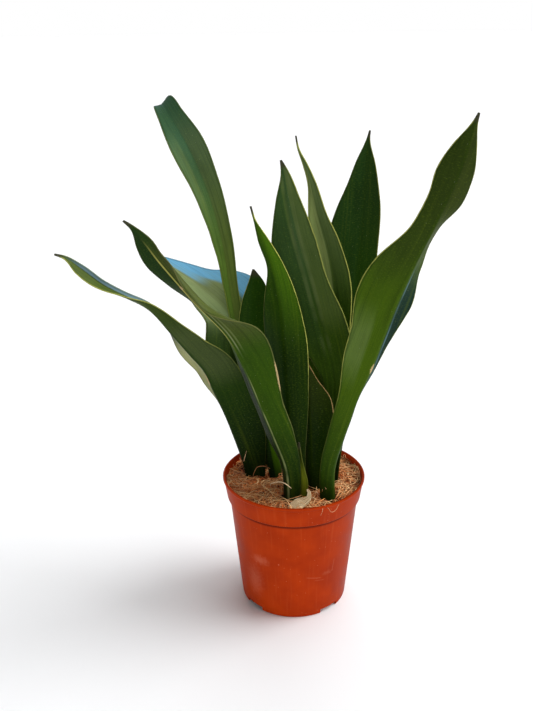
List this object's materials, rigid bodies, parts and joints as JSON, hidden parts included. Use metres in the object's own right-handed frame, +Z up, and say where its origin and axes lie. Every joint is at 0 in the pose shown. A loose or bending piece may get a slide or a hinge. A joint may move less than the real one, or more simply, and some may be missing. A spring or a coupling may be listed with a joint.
{
  "type": "potted snake plant",
  "caption": "Snake plant with stiff upright and arching leaves, growing in coir in a round tapered nursery pot that stands free on a flat surface.",
  "frame": {"origin": "middle of the pot's underside, on the surface that the pot stands on", "axes": "+Z up along the pot's axis, -Y towards the front of the plant, +X to the right as seen from the front"},
  "size_m": [0.3309, 0.1897, 0.4509],
  "materials": {
    "leaf": "satin",
    "pot_plastic": "satin",
    "coir": "matte",
    "rhizome": "matte",
    "dry_sheath": "matte"
  },
  "bodies": {
    "root": {"pot": "pot_plastic", "coir": "coir", "rhizome": "rhizome", "leaf_arching_left": "leaf", "leaf_folded_left": "leaf", "leaf_low_left": "leaf", "leaf_broad_back": "leaf", "leaf_short_left": "leaf", "leaf_front": "leaf", "leaf_middle": "leaf", "leaf_slender": "leaf", "leaf_upright_back": "leaf", "leaf_young": "leaf", "leaf_right": "leaf", "scale_leaf": "leaf", "dried_sheath": "dry_sheath"}
  },
  "joints": []
}
